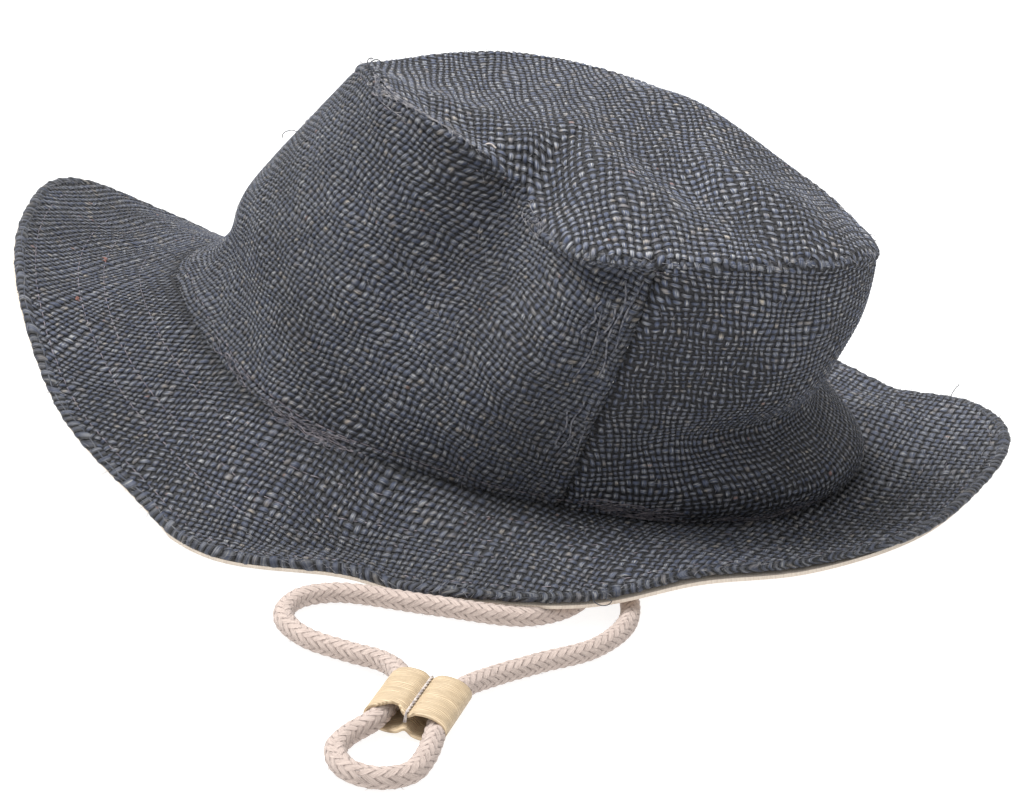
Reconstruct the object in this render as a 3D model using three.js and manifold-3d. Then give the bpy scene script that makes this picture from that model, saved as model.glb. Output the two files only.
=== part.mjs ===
// A soft summer hat of coarse woven hemp, lying on its brim with its chin cord laid out in front.
// Millimetres, +Z up, the surface it lies on at z = 0. The front of the hat is -X, the wearer's left is -Y.
import * as THREE from "three";
import { mergeVertices } from "three/addons/utils/BufferGeometryUtils.js";
import Module from "manifold-3d";

// Thickness of each cloth, and the room left between pieces that touch.
const hempThickness = 1.6;
const facingThickness = 1;
const seamGap = 0.35;
const underlayGap = 0.3;
const brimStack = hempThickness + underlayGap + facingThickness;

// The hat's plan and heights, one row for each direction round it (degrees from the back, +X).
// baseOut, edgeOut: distance from the origin to the base seam and to the brim's edge.
// baseUp, edgeUp: height of the brim's upper face there; below brimStack the brim lies flat on the surface.
// tipOut, tipUp: distance from the tip's centre to the tip seam, and its height.
// belly: how far the wall stands out between its two seams. cup: how far the brim dips between base and edge.
const sections = [
  { dir: 0, baseOut: 111, baseUp: 4.5, edgeOut: 154.5, edgeUp: 19, tipOut: 78, tipUp: 85, belly: -2, cup: 3 },
  { dir: 15, baseOut: 107, baseUp: 5, edgeOut: 153.5, edgeUp: 13, tipOut: 72, tipUp: 86.5, belly: 0, cup: 2 },
  { dir: 30, baseOut: 97, baseUp: 6.5, edgeOut: 142, edgeUp: 2, tipOut: 68, tipUp: 88, belly: 3, cup: 1 },
  { dir: 45, baseOut: 87, baseUp: 8.5, edgeOut: 136, edgeUp: 0, tipOut: 66, tipUp: 91, belly: 5, cup: 1 },
  { dir: 60, baseOut: 80, baseUp: 11.5, edgeOut: 129, edgeUp: 0, tipOut: 67, tipUp: 95.5, belly: 6, cup: 2 },
  { dir: 75, baseOut: 77, baseUp: 14.5, edgeOut: 125, edgeUp: 1, tipOut: 68, tipUp: 99.5, belly: 6, cup: 3 },
  { dir: 90, baseOut: 76, baseUp: 18, edgeOut: 124.5, edgeUp: 2, tipOut: 70, tipUp: 103, belly: 6, cup: 4 },
  { dir: 105, baseOut: 79, baseUp: 21.5, edgeOut: 125, edgeUp: 1, tipOut: 73, tipUp: 105.5, belly: 6, cup: 4 },
  { dir: 120, baseOut: 85, baseUp: 25.5, edgeOut: 130, edgeUp: 0, tipOut: 75, tipUp: 107, belly: 6, cup: 4 },
  { dir: 135, baseOut: 93, baseUp: 29.5, edgeOut: 140, edgeUp: 9, tipOut: 77, tipUp: 107, belly: 6, cup: 2 },
  { dir: 150, baseOut: 100, baseUp: 33.5, edgeOut: 151, edgeUp: 29.5, tipOut: 78, tipUp: 107, belly: 4, cup: 4 },
  { dir: 165, baseOut: 106, baseUp: 37.5, edgeOut: 160, edgeUp: 49, tipOut: 76, tipUp: 110, belly: 1, cup: 5 },
  { dir: 180, baseOut: 107, baseUp: 39.5, edgeOut: 156, edgeUp: 51, tipOut: 72, tipUp: 114, belly: 1, cup: 5 },
  { dir: 195, baseOut: 103, baseUp: 39, edgeOut: 151, edgeUp: 42, tipOut: 70, tipUp: 119, belly: 1, cup: 4 },
  { dir: 210, baseOut: 98, baseUp: 33, edgeOut: 143, edgeUp: 19, tipOut: 66, tipUp: 115, belly: 3, cup: 1 },
  { dir: 225, baseOut: 94, baseUp: 26.5, edgeOut: 134, edgeUp: 6, tipOut: 55, tipUp: 108, belly: 5, cup: 1 },
  { dir: 240, baseOut: 88, baseUp: 21.5, edgeOut: 134, edgeUp: 0, tipOut: 41, tipUp: 96, belly: 6, cup: 2 },
  { dir: 255, baseOut: 82, baseUp: 17.5, edgeOut: 120, edgeUp: 0, tipOut: 50, tipUp: 90, belly: 6, cup: 2 },
  { dir: 270, baseOut: 78, baseUp: 13.5, edgeOut: 126, edgeUp: 6, tipOut: 70, tipUp: 90, belly: 5, cup: 1 },
  { dir: 285, baseOut: 78, baseUp: 10.5, edgeOut: 129.5, edgeUp: 9.6, tipOut: 77, tipUp: 91, belly: 2, cup: 0 },
  { dir: 300, baseOut: 80, baseUp: 6.5, edgeOut: 127, edgeUp: 14, tipOut: 80, tipUp: 91, belly: 1, cup: 0 },
  { dir: 315, baseOut: 87, baseUp: 4, edgeOut: 130, edgeUp: 12.5, tipOut: 82, tipUp: 90, belly: 0, cup: 1 },
  { dir: 330, baseOut: 97, baseUp: 3.5, edgeOut: 140.5, edgeUp: 15, tipOut: 86, tipUp: 89, belly: 0, cup: 2 },
  { dir: 345, baseOut: 106, baseUp: 4, edgeOut: 146.5, edgeUp: 17, tipOut: 85, tipUp: 86, belly: 0, cup: 3 },
];
const tipCentre = new THREE.Vector3(20, -15, 104);

// Dents pressed into the crown's wall, and rolls that stand out of it (a negative depth). dir and
// halfWidth are in degrees round the hat, rise and halfRise are shares of the wall from base to tip seam.
const wallDents = [
  { name: "crease over the back roll", dir: 330, halfWidth: 28, rise: 0.31, halfRise: 0.11, depth: 11 },
  { name: "roll above the base seam", dir: 330, halfWidth: 36, rise: 0.12, halfRise: 0.1, depth: -5 },
  { name: "hollow at the back", dir: 8, halfWidth: 28, rise: 0.46, halfRise: 0.21, depth: 15.5 },
  { name: "pinch under the tip seam", dir: 279, halfWidth: 9, rise: 0.93, halfRise: 0.07, depth: 5 },
  { name: "dip below the notch", dir: 258, halfWidth: 14, rise: 0.82, halfRise: 0.16, depth: 4 },
  { name: "sweep out to the brim", dir: 185, halfWidth: 35, rise: 0.15, halfRise: 0.16, depth: 7 },
];
// Folds across the tip, each a long soft ridge (or a valley, a negative height) turned in plan.
const tipFolds = [
  { name: "valley behind the seam", x: -12, y: -46, halfLength: 30, halfWidth: 10, turn: -30, height: -4 },
  { name: "ridge from the notch", x: 16, y: -30, halfLength: 46, halfWidth: 14, turn: -69, height: 3 },
  { name: "valley beside the ridge", x: 42, y: -40, halfLength: 32, halfWidth: 11, turn: -50, height: -4.5 },
  { name: "swell at the back", x: 72, y: -42, halfLength: 25, halfWidth: 14, turn: -50, height: 3 },
  { name: "swell on the far side", x: 50, y: 22, halfLength: 35, halfWidth: 22, turn: -30, height: 6.5 },
];

// The two ear seams join the front and back panels of the crown.
const nearEar = 287;
const farEar = 107;
// Facets: columns round the hat, rings of the tip, and where each row lies across the brim and up the wall.
const columns = 80;
const tipRings = 7;
const brimRows = [0.82, 0.65, 0.48, 0.3, 0.12];
const wallRows = [0, 0.06, 0.14, 0.25, 0.38, 0.54, 0.7, 0.85, 0.96, 1];

// The chin cord, from the far ear seam across the surface, out under the brim, through the slider, round
// its loop, back through the slider and under the brim, and up to the near ear seam.
const cordDiameter = 5;
const cordSteps = 80;
const cordSides = 8;
const cordRoute = [
  [-21.2, 69.8, 38],
  [-21.6, 69.5, 20],
  [-19.5, 62, 8.5],
  [-15, 47, 4],
  [-6, 20, 3],
  [10, -48, 2.8],
  [20, -75, 2.8],
  [30.5, -92, 2.8],
  [34.5, -107, 2.8],
  [30, -119.5, 2.8],
  [19, -128, 2.8],
  [-5, -129, 2.8],
  [-31, -129.5, 2.8],
  [-40, -136, 2.8],
  [-41.5, -146, 2.8],
  [-34.5, -154.5, 2.8],
  [-22.5, -159.2, 3],
  [-12.8, -163, 3.8],
  [-7.8, -168.8, 4.4],
  [-7.6, -180, 4.5],
  [-10.3, -190.5, 4],
  [-15.4, -197.6, 3],
  [-17.1, -204.6, 2.8],
  [-13.2, -211.3, 2.8],
  [-5.8, -213.2, 2.8],
  [1.1, -209.3, 2.8],
  [3.7, -201.8, 3.1],
  [5.2, -183, 4.5],
  [8.2, -171, 4.2],
  [15, -161, 3.1],
  [25.5, -150.8, 2.8],
  [38.5, -139.5, 2.8],
  [45.8, -124, 2.8],
  [45, -108, 2.8],
  [37, -90, 2.9],
  [27, -71.8, 3],
  [22.7, -64, 6.2],
  [20.9, -60.8, 13.8],
  [22.5, -63.7, 21.6],
  [26.2, -70.4, 25],
];
// The slider: two wrapped tubes side by side, with a waist between them where the thread pulls it in.
const sliderLength = 19;
const sliderTubeRadius = 4.3;
const sliderTubeSpacing = 13;
const sliderWaist = 5.6;
const sliderCentre = new THREE.Vector3(-1.2, -181.8, 4.5);
const sliderHeading = 79;

const cloths = {
  hempTip: { color: 0x454b5a, roughness: 0.95 },
  hempFront: { color: 0x414756, roughness: 0.95 },
  hempBack: { color: 0x3b4150, roughness: 0.95 },
  hempBrim: { color: 0x3a404e, roughness: 0.95 },
  cottonFacing: { color: 0xe6dac9, roughness: 0.9 },
  cordCotton: { color: 0xd9c8c0, roughness: 0.9 },
  sliderWrap: { color: 0xd6b988, roughness: 0.8 },
};

const radians = THREE.MathUtils.degToRad;

// A column of the table at any angle: a smooth closed curve through its rows.
function around(column, angle) {
  const count = sections.length;
  const place = ((((angle / (2 * Math.PI)) * count) % count) + count) % count;
  const row = Math.floor(place);
  const f = place - row;
  const [a, b, c, d] = [-1, 0, 1, 2].map((k) => sections[(row + k + count) % count][column]);
  return b + 0.5 * f * (c - a + f * (2 * a - 5 * b + 4 * c - d + f * (3 * (b - c) + d - a)));
}

// The upper face of the brim: across is 0 at the base seam and 1 at the edge, and a little under 0
// is the seam allowance inside the crown.
function brimSurface(angle, across) {
  const baseOut = around("baseOut", angle);
  const baseUp = around("baseUp", angle);
  const out = THREE.MathUtils.lerp(baseOut, around("edgeOut", angle), across);
  const dip = across > 0 ? 4 * across * (1 - across) * around("cup", angle) : 0;
  const up = THREE.MathUtils.lerp(baseUp, around("edgeUp", angle), across) - dip;
  return new THREE.Vector3(out * Math.cos(angle), out * Math.sin(angle), Math.max(up, brimStack));
}

// The seam between wall and tip.
function tipSeam(angle) {
  const out = around("tipOut", angle);
  const up = around("tipUp", angle);
  return new THREE.Vector3(tipCentre.x + out * Math.cos(angle), tipCentre.y + out * Math.sin(angle), up);
}

// How far the dents press in at a place on the wall. They fade out at both seams.
function dentDepth(angle, rise) {
  const fade = Math.min(rise / 0.06, (1 - rise) / 0.05, 1);
  return wallDents.reduce((sum, dent) => {
    const turned = angle - radians(dent.dir);
    const gap = Math.atan2(Math.sin(turned), Math.cos(turned)) / radians(dent.halfWidth);
    return sum + fade * dent.depth * Math.exp(-(gap ** 2) - ((rise - dent.rise) / dent.halfRise) ** 2);
  }, 0);
}

// The outer face of the crown's wall: rise is 0 at the base seam and 1 at the tip seam.
function wallSurface(angle, rise) {
  const push = around("belly", angle) * Math.sin(Math.PI * rise) - dentDepth(angle, rise);
  const outward = new THREE.Vector3(Math.cos(angle), Math.sin(angle), 0);
  return brimSurface(angle, 0).lerp(tipSeam(angle), rise).addScaledVector(outward, push);
}

// The upper face of the tip: reach is 0 at its centre and 1 at the seam.
function tipSurface(angle, reach) {
  const seam = tipSeam(angle);
  const point = tipCentre.clone().lerp(seam, reach);
  point.z = THREE.MathUtils.lerp(tipCentre.z, seam.z, reach ** 2);
  for (const fold of tipFolds) {
    const turn = radians(fold.turn);
    const [dx, dy] = [point.x - fold.x, point.y - fold.y];
    const along = (dx * Math.cos(turn) + dy * Math.sin(turn)) / fold.halfLength;
    const beside = (dy * Math.cos(turn) - dx * Math.sin(turn)) / fold.halfWidth;
    point.z += fold.height * Math.exp(-(along ** 2) - beside ** 2) * (1 - reach ** 6);
  }
  return point;
}

// The direction square to a surface, found from its slope round the hat and along.
function squareTo(surface, angle, along, step = 0.004) {
  const roundHat = surface(angle + step, along).sub(surface(angle - step, along));
  const onward = surface(angle, along + step).sub(surface(angle, along - step));
  return roundHat.cross(onward).normalize();
}

// A cloth piece as one closed solid. outer and inner hold a column of points for each step round the
// hat. wraps joins the last column to the first. pole holds the two points that close a round panel.
function clothSolid(outer, inner, { wraps = true, pole = null } = {}) {
  const count = outer.length;
  const rows = outer[0].length;
  const points = [...outer.flat(), ...inner.flat(), ...(pole ?? [])];
  const index = [];
  const at = (layer, i, j) => (layer * count + (i % count)) * rows + j;
  const quad = (a, b, c, d) => index.push(a, b, c, a, c, d);
  for (let i = 0; i < (wraps ? count : count - 1); i++) {
    for (let j = 0; j + 1 < rows; j++) {
      quad(at(0, i, j), at(0, i + 1, j), at(0, i + 1, j + 1), at(0, i, j + 1));
      quad(at(1, i, j), at(1, i, j + 1), at(1, i + 1, j + 1), at(1, i + 1, j));
    }
    quad(at(0, i, 0), at(1, i, 0), at(1, i + 1, 0), at(0, i + 1, 0));
    const top = rows - 1;
    if (pole) {
      index.push(at(0, i, top), at(0, i + 1, top), 2 * count * rows);
      index.push(at(1, i + 1, top), at(1, i, top), 2 * count * rows + 1);
    } else {
      quad(at(0, i, top), at(0, i + 1, top), at(1, i + 1, top), at(1, i, top));
    }
  }
  for (let j = 0; j + 1 < rows && !wraps; j++) {
    quad(at(0, 0, j), at(0, 0, j + 1), at(1, 0, j + 1), at(1, 0, j));
    quad(at(0, count - 1, j), at(1, count - 1, j), at(1, count - 1, j + 1), at(0, count - 1, j + 1));
  }
  const geometry = new THREE.BufferGeometry();
  geometry.setAttribute("position", new THREE.Float32BufferAttribute(points.flatMap((p) => p.toArray()), 3));
  geometry.setIndex(index);
  return geometry;
}

// Evenly spaced values, both ends included.
function spread(from, to, parts) {
  return Array.from({ length: parts + 1 }, (_, k) => from + ((to - from) * k) / parts);
}

// A ring of cloth that follows the brim at a depth under its upper face.
function brimLayer(depth, thickness, edge) {
  const turns = spread(0, 2 * Math.PI, columns).slice(0, -1);
  const face = (under) =>
    turns.map((angle) => {
      const width = around("edgeOut", angle) - around("baseOut", angle);
      const inner = -(hempThickness + seamGap) / width;
      return [edge, ...brimRows, inner].map((across) => {
        const down = squareTo(brimSurface, angle, across);
        return brimSurface(angle, across).addScaledVector(down, under);
      });
    });
  return clothSolid(face(depth), face(depth + thickness));
}

// The outer and inner faces of the wall's cloth at one place. Its foot lies square on the brim.
function wallCloth(angle, rise) {
  const width = around("edgeOut", angle) - around("baseOut", angle);
  const footInward = brimSurface(angle, -hempThickness / width).sub(brimSurface(angle, 0)).normalize();
  const wallInward = squareTo(wallSurface, angle, rise).negate();
  const inward = footInward.lerp(wallInward, Math.min(rise / 0.1, 1)).normalize();
  const outer = wallSurface(angle, rise);
  outer.z += (seamGap + 0.1) * (1 - rise);
  return { outer, inner: outer.clone().addScaledVector(inward, hempThickness), inward };
}

// A panel of the crown's wall between two ear seams.
function wallPanel(from, to) {
  const trim = seamGap / 2 / around("baseOut", radians(from));
  const turns = spread(radians(from) + trim, radians(to) - trim, columns / 2);
  const cloth = turns.map((angle) => wallRows.map((rise) => wallCloth(angle, rise)));
  const outer = cloth.map((column) => column.map((place) => place.outer));
  const inner = cloth.map((column) => column.map((place) => place.inner));
  return clothSolid(outer, inner, { wraps: false });
}

// The tip lies inside the top of the wall. Its rim follows the wall's inner face.
function tipPanel() {
  const turns = spread(radians(farEar), radians(farEar) + 2 * Math.PI, columns).slice(0, -1);
  const reaches = spread(1, 0, tipRings).slice(0, -1);
  const face = (under) =>
    turns.map((angle) => {
      const rim = wallCloth(angle, 1);
      const wallDown = wallCloth(angle, wallRows.at(-2)).inner.sub(rim.inner).normalize();
      return reaches.map((reach) => {
        const inset = rim.inward.clone().multiplyScalar((hempThickness + seamGap) * reach ** 4);
        const down = squareTo(tipSurface, angle, reach);
        down.multiplyScalar(Math.sign(-down.z)).lerp(wallDown, reach ** 6).normalize();
        return tipSurface(angle, reach).add(inset).addScaledVector(down, under);
      });
    });
  const top = tipSurface(0, 0);
  const bottom = top.clone().add(new THREE.Vector3(0, 0, -hempThickness));
  return clothSolid(face(0), face(hempThickness), { pole: [top, bottom] });
}

// A round tube along the cord's route.
function cordTube(radius) {
  const path = new THREE.CatmullRomCurve3(cordRoute.map((point) => new THREE.Vector3(...point)));
  const section = new THREE.Shape().absarc(0, 0, radius, 0, 2 * Math.PI);
  return new THREE.ExtrudeGeometry(section, {
    extrudePath: path,
    steps: cordSteps,
    curveSegments: cordSides / 2,
  });
}

// The slider's outline, two tubes and a waist, carried along its heading.
function sliderBody() {
  const half = sliderTubeSpacing / 2;
  const meet = Math.asin(sliderWaist / 2 / sliderTubeRadius);
  const outline = new THREE.Shape();
  outline.absarc(half, 0, sliderTubeRadius, -Math.PI + meet, Math.PI - meet);
  outline.absarc(-half, 0, sliderTubeRadius, meet, 2 * Math.PI - meet);
  const geometry = new THREE.ExtrudeGeometry(outline, {
    depth: sliderLength,
    bevelEnabled: false,
    curveSegments: 14,
  });
  geometry.translate(0, 0, -sliderLength / 2);
  geometry.rotateX(Math.PI / 2);
  geometry.rotateZ(radians(sliderHeading - 90));
  geometry.translate(...sliderCentre.toArray());
  return geometry;
}

const wasm = await Module();
wasm.setup();

function toSolid(geometry) {
  const bare = new THREE.BufferGeometry().setAttribute("position", geometry.getAttribute("position"));
  bare.setIndex(geometry.getIndex());
  const merged = mergeVertices(bare, 1e-3);
  const mesh = new wasm.Mesh({
    numProp: 3,
    vertProperties: merged.getAttribute("position").array,
    triVerts: new Uint32Array(merged.getIndex().array),
  });
  return new wasm.Manifold(mesh);
}

function toGeometry(solid) {
  const mesh = solid.getMesh();
  const geometry = new THREE.BufferGeometry();
  geometry.setAttribute("position", new THREE.BufferAttribute(mesh.vertProperties, 3));
  geometry.setIndex(new THREE.BufferAttribute(mesh.triVerts, 1));
  return geometry;
}

// The slider with a way cut through each tube for the cord, with room round it.
function sliderGeometry() {
  const cordRoom = toSolid(cordTube(cordDiameter / 2 + seamGap));
  return toGeometry(toSolid(sliderBody()).subtract(cordRoom));
}

const hat = new THREE.Group();

function addPiece(name, geometry, finish) {
  geometry.computeVertexNormals();
  const mesh = new THREE.Mesh(geometry, new THREE.MeshStandardMaterial({ ...finish, metalness: 0 }));
  mesh.name = name;
  hat.add(mesh);
}

addPiece("crown_tip", tipPanel(), cloths.hempTip);
addPiece("crown_side_front", wallPanel(farEar, nearEar), cloths.hempFront);
addPiece("crown_side_back", wallPanel(nearEar, farEar + 360), cloths.hempBack);
addPiece("brim_top", brimLayer(0, hempThickness, 1), cloths.hempBrim);
const facingDepth = hempThickness + underlayGap;
addPiece("brim_facing", brimLayer(facingDepth, facingThickness, 0.99), cloths.cottonFacing);
addPiece("chin_cord", cordTube(cordDiameter / 2), cloths.cordCotton);
addPiece("cord_slider", sliderGeometry(), cloths.sliderWrap);

export default hat;
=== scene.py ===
import math

import bpy
import numpy as np
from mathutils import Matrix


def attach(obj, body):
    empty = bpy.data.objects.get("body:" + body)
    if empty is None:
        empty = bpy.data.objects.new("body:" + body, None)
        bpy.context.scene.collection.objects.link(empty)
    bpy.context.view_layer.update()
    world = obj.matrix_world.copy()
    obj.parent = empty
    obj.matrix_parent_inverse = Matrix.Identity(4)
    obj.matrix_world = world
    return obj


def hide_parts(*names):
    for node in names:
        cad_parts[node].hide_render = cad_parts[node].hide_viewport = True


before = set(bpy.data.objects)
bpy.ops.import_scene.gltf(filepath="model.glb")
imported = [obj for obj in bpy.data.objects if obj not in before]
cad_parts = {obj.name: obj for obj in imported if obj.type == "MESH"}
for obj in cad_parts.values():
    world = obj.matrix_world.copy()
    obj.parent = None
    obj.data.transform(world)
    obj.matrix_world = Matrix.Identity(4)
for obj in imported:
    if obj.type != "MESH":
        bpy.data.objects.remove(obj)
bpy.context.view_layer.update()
scene = bpy.context.scene
metre = 0.001


# Makes an object of a mesh, camera or lamp and puts it in the scene.
def putIn(name, data):
    thing = bpy.data.objects.new(name, data)
    scene.collection.objects.link(thing)
    return thing


# Camera: angles in degrees round the hat and above the floor, lengths in metres, lens in mm.
view = {"azimuth": 3.9, "elevation": 23.0, "roll": 6.15, "distance": 0.6375, "lens": 77.17,
        "target": (0.0043, -0.0493, 0.030)}


def placeCamera():
    a, e, r = (math.radians(view[k]) for k in ("azimuth", "elevation", "roll"))
    back = np.array([math.sin(a) * math.cos(e), -math.cos(a) * math.cos(e), math.sin(e)])
    right = np.array([math.cos(a), math.sin(a), 0.0])
    up = np.cross(back, right)
    turned = (right * math.cos(r) + up * math.sin(r), up * math.cos(r) - right * math.sin(r), back)
    place = np.eye(4)
    place[:3, :3] = np.stack(turned, axis=1)
    place[:3, 3] = np.array(view["target"]) + view["distance"] * back
    lens = bpy.data.cameras.new("photo_camera")
    lens.lens = view["lens"]
    lens.sensor_width = 36
    scene.camera = putIn("photo_camera", lens)
    scene.camera.matrix_world = place.T.tolist()


placeCamera()
scene.view_settings.view_transform = "Standard"
print("camera placed")


# Shader maths: a Wire is one socket, and arithmetic on wires, either way round, adds Math nodes.
class Wire:
    def __init__(self, finish, socket):
        self.finish, self.socket = finish, socket

    def maths(self, operation, *values):
        return self.finish.node("ShaderNodeMath", {"operation": operation}, dict(enumerate(values)))


for name, operation in (("add", "ADD"), ("sub", "SUBTRACT"), ("mul", "MULTIPLY"), ("truediv", "DIVIDE")):
    setattr(Wire, f"__{name}__", lambda self, other, kind=operation: self.maths(kind, self, other))
    setattr(Wire, f"__r{name}__", lambda self, other, kind=operation: self.maths(kind, other, self))
for name, operation in (("__gt__", "GREATER_THAN"), ("atLeast", "MAXIMUM")):
    setattr(Wire, name, lambda self, other, kind=operation: self.maths(kind, self, other))
for name, operation in (("whole", "FLOOR"), ("sine", "SINE"), ("root", "SQRT"), ("size", "ABSOLUTE")):
    setattr(Wire, name, lambda self, kind=operation: self.maths(kind, self))


# One material: a Principled shader whose plain values are set on its sockets.
class Finish:
    def __init__(self, name, **plain):
        self.material = bpy.data.materials.new(name)
        self.material.use_nodes = True
        self.tree = self.material.node_tree
        self.shader = self.tree.nodes["Principled BSDF"]
        for socket, value in plain.items():
            self.give(socket.replace("_", " "), value)

    def feed(self, socket, value):
        if isinstance(value, Wire):
            self.tree.links.new(value.socket, socket)
        else:
            socket.default_value = value

    def give(self, socket, value):
        self.feed(self.shader.inputs[socket], value)

    def node(self, kind, settings=None, inputs=None, output=0):
        made = self.tree.nodes.new(kind)
        for key, value in (settings or {}).items():
            setattr(made, key, value)
        for key, value in (inputs or {}).items():
            self.feed(made.inputs[key], value)
        return Wire(self, made.outputs[output])

    def weavePlace(self):
        uv = self.node("ShaderNodeUVMap", {"uv_map": "weave"})
        u = self.node("ShaderNodeSeparateXYZ", {}, {0: uv})
        return uv, u, Wire(self, u.socket.node.outputs[1])

    def join(self, x, y, z=0.0):
        return self.node("ShaderNodeCombineXYZ", {}, {"X": x, "Y": y, "Z": z})

    def noise(self, vector, scale=1.0, detail=0.0):
        return self.node("ShaderNodeTexNoise", {}, {"Vector": vector, "Scale": scale, "Detail": detail}, "Fac")

    def ramp(self, value, low, high, start=0.0, end=1.0):
        return self.node("ShaderNodeMapRange", {"interpolation_type": "SMOOTHSTEP"},
                         {"Value": value, "From Min": low, "From Max": high, "To Min": start, "To Max": end})

    def choose(self, mask, whenZero, whenOne):
        return whenZero + mask * (whenOne - whenZero)

    def tint(self, factor, first, second):
        return self.node("ShaderNodeMix", {"data_type": "RGBA"}, {"Factor": factor, 6: first, 7: second}, 2)

    def times(self, colour, gain):
        return self.node("ShaderNodeVectorMath", {"operation": "SCALE"}, {0: colour, "Scale": gain})

    def bump(self, height, distance, strength=1.0):
        values = {"Height": height, "Distance": distance, "Strength": strength}
        self.give("Normal", self.node("ShaderNodeBump", {}, values))


# Vectors brought to length 1.
def unit(vectors):
    return vectors / np.maximum(np.linalg.norm(vectors, axis=-1, keepdims=True), 1e-9)


# How far along a line each of its points lies, 0 at the first.
def runAlong(line):
    return np.concatenate([[0], np.cumsum(np.linalg.norm(np.diff(line, axis=0), axis=1))])


# Puts points in mm and their faces into a mesh object. uv is a pair for each point, or a function that
# gives each corner's pair from its point's number. Edges between two sharp points stay crisp.
def makePiece(name, points, faces, finish, uv=None, sharpPoints=None, shade=None):
    mesh = bpy.data.meshes.new(name)
    mesh.from_pydata((points.reshape(-1, 3) * metre).astype(float).tolist(), [], faces)
    mesh.polygons.foreach_set("use_smooth", np.ones(len(mesh.polygons), dtype=bool))
    if uv is not None:
        corners = np.empty(len(mesh.loops), dtype=np.int32)
        mesh.loops.foreach_get("vertex_index", corners)
        pairs = uv(corners) if callable(uv) else uv.reshape(-1, 2)[corners]
        mesh.uv_layers.new(name="weave").uv.foreach_set("vector", pairs.astype(np.float32).ravel())
    if shade is not None:
        layer = mesh.attributes.new("shade", "FLOAT", "POINT")
        layer.data.foreach_set("value", shade.astype(np.float32))
    if sharpPoints is not None:
        ends = np.empty(2 * len(mesh.edges), dtype=np.int32)
        mesh.edges.foreach_get("vertices", ends)
        marked = np.zeros(len(mesh.vertices), dtype=bool)
        marked[sharpPoints] = True
        layer = mesh.attributes.new("sharp_edge", "BOOLEAN", "EDGE")
        layer.data.foreach_set("value", marked[ends].reshape(-1, 2).all(axis=1))
    if mesh.validate(verbose=False):
        print(name, "had faces that were mended")
    mesh.update()
    mesh.materials.append(finish.material)
    return putIn(name, mesh)


# What a piece stands for: a node of the part, which it hides, and which body it moves with.
def declare(piece, node):
    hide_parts(node)
    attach(piece, "root")


# The same for a cloth.
def declareCloth(piece, node):
    declare(piece, node)


# Quads of an n by m grid of points whose first number is start. A wrapped side joins its last line
# to its first.
def gridFaces(n, m, start=0, wrapRows=False, wrapColumns=False, flip=False):
    i = np.arange(n if wrapRows else n - 1)[:, None]
    j = np.arange(m if wrapColumns else m - 1)[None, :]
    nextI, nextJ = (i + 1) % n, (j + 1) % m
    quads = np.stack(np.broadcast_arrays(i * m + j, nextI * m + j, nextI * m + nextJ, i * m + nextJ), axis=-1)
    quads = quads.reshape(-1, 4) + start
    return quads[:, ::-1] if flip else quads


# Quads of a grid that closes on itself both ways, as a ring's do.
def ringFaces(n, m):
    return gridFaces(n, m, wrapRows=True, wrapColumns=True, flip=True).tolist()


# Unit normals of a grid of points: the cross product of its two slopes.
def gridNormals(points):
    return unit(np.cross(np.gradient(points, axis=0), np.gradient(points, axis=1)))


# A hemp panel as one closed shell: the fine outer grid, a plain inner grid on every step-th line of it,
# and strips that join the two round all four sides.
def makeCloth(name, outer, inner, uv, cloth, shade):
    step = hemp["innerStep"]
    n, m = outer.shape[:2]
    few = inner[::step, ::step]
    n2, m2 = few.shape[:2]
    points = np.concatenate([outer.reshape(-1, 3), few.reshape(-1, 3)])
    coords = np.concatenate([uv.reshape(-1, 2), uv[::step, ::step].reshape(-1, 2)])
    shades = np.concatenate([shade.ravel(), shade[::step, ::step].ravel()])
    middle = (n // 2, m // 2)
    facing = np.cross(np.gradient(outer, axis=0)[middle], np.gradient(outer, axis=1)[middle])
    flip = float(facing @ (outer - inner)[middle]) < 0
    fine, plain = np.arange(n * m).reshape(n, m), n * m + np.arange(n2 * m2).reshape(n2, m2)

    def strip(fineLine, plainLine, turned):
        k = np.arange(len(plainLine) - 1)[:, None]
        fineOnes = fineLine[k * step + np.arange(step + 1)]
        faces = np.concatenate([fineOnes, plainLine[k + 1], plainLine[k]], axis=1)
        return (faces[:, ::-1] if turned != flip else faces).tolist()

    faces = gridFaces(n, m, flip=flip).tolist() + gridFaces(n2, m2, n * m, flip=not flip).tolist()
    faces += strip(fine[:, 0], plain[:, 0], True) + strip(fine[:, -1], plain[:, -1], False)
    faces += strip(fine[0], plain[0], False) + strip(fine[-1], plain[-1], True)
    edge = np.concatenate([fine[:, 0], fine[:, -1], fine[0], fine[-1]])
    return makePiece(name, points, faces, cloth["finish"], coords, edge, shades)


# A smooth curve through points: centripetal Catmull-Rom, count points spaced evenly along it.
def smoothPath(points, count):
    p = np.array(points, dtype=float)
    p = np.concatenate([[2 * p[0] - p[1]], p, [2 * p[-1] - p[-2]]])
    gap = np.sqrt(np.linalg.norm(np.diff(p, axis=0), axis=1))[:, None, None]
    a, b, c, d = (p[k:len(p) - 3 + k][:, None, :] for k in range(4))
    before, here, after = gap[:-2], gap[1:-1], gap[2:]
    slopeB = ((b - a) / before - (c - a) / (before + here) + (c - b) / here) * here
    slopeC = ((c - b) / here - (d - b) / (here + after) + (d - c) / after) * here
    t = np.linspace(0, 1, 60, endpoint=False)[None, :, None]
    bend, turn = 3 * (c - b) - 2 * slopeB - slopeC, 2 * (b - c) + slopeB + slopeC
    curve = b + t * slopeB + t ** 2 * bend + t ** 3 * turn
    curve = np.concatenate([curve.reshape(-1, 3), p[-2:-1]])
    run = runAlong(curve)
    even = np.linspace(0, run[-1], count)
    return np.stack([np.interp(even, run, curve[:, k]) for k in range(3)], axis=1), run[-1]


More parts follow.
